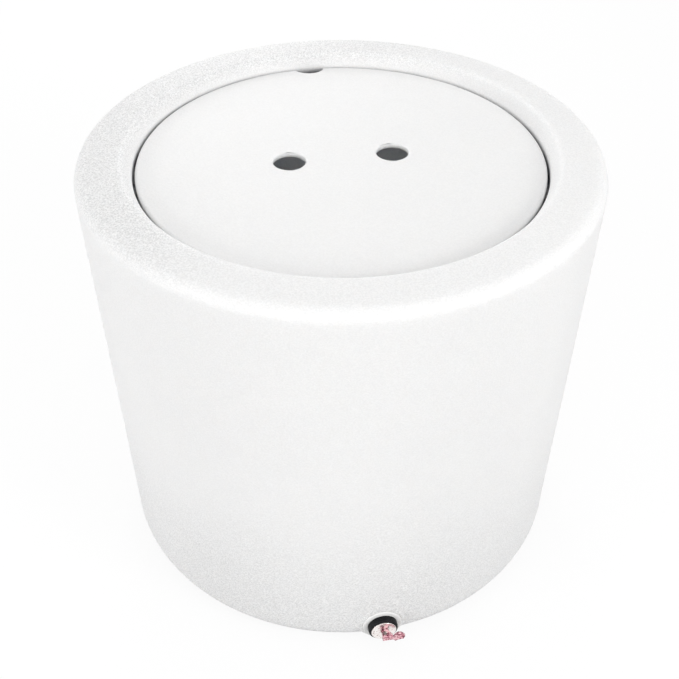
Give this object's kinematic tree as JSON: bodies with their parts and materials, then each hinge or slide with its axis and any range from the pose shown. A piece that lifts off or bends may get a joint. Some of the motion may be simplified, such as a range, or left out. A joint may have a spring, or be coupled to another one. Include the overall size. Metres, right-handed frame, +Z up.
{
  "type": "live bait well",
  "caption": "Round free-standing moulded bait tank with an inset lift-off lid with finger holes and a hose notch, and a snap-lever drain plug low on its front.",
  "frame": {"origin": "centre of the tank's flat base, on the surface it stands on", "axes": "+Z up along the tank's axis of revolution; the drain plug faces -Y; the lid's finger holes lie on X and its hose notch faces +Y"},
  "size_m": [0.508, 0.5183, 0.456],
  "materials": {
    "tank_polyethylene": "matt, fine pebbled moulded skin",
    "lid_polyethylene": "matt, fine pebbled moulded skin",
    "bushing_polyethylene": "smooth turned plastic",
    "black_rubber": "satin moulded rubber",
    "rosy_brass": "stamped and tumbled brass"
  },
  "bodies": {
    "tank": {"tank_shell": "tank_polyethylene", "drain_bushing": "bushing_polyethylene"},
    "lid": {"lid": "lid_polyethylene"},
    "plug": {"plug_rubber": "black_rubber", "plug_outer_washer": "rosy_brass"},
    "stem": {"plug_stem": "rosy_brass", "plug_inner_washer": "rosy_brass", "plug_nut": "rosy_brass", "lever_pin": "rosy_brass"},
    "lever": {"cam_lever": "rosy_brass"}
  },
  "joints": [
    {"name": "lid_lift", "type": "slide", "parent": "tank", "child": "lid", "axis": [0, 0, 1], "range_m": [0, 0.15]},
    {"name": "plug_pull", "type": "slide", "parent": "tank", "child": "plug", "axis": [0, -1, 0], "range_m": [0, 0.05]},
    {"name": "stem_draw", "type": "slide", "parent": "plug", "child": "stem", "axis": [0, 1, 0], "range_m": [0, 0.002]},
    {"name": "lever_swing", "type": "hinge", "parent": "stem", "child": "lever", "pos_m": [0, -0.25958, 0.028], "axis": [0, 0, -1], "range_deg": [0, 90]}
  ],
  "couplings": [
    {"joint": "stem_draw", "follows": "lever_swing", "m_per_rad": 0.001273}
  ]
}
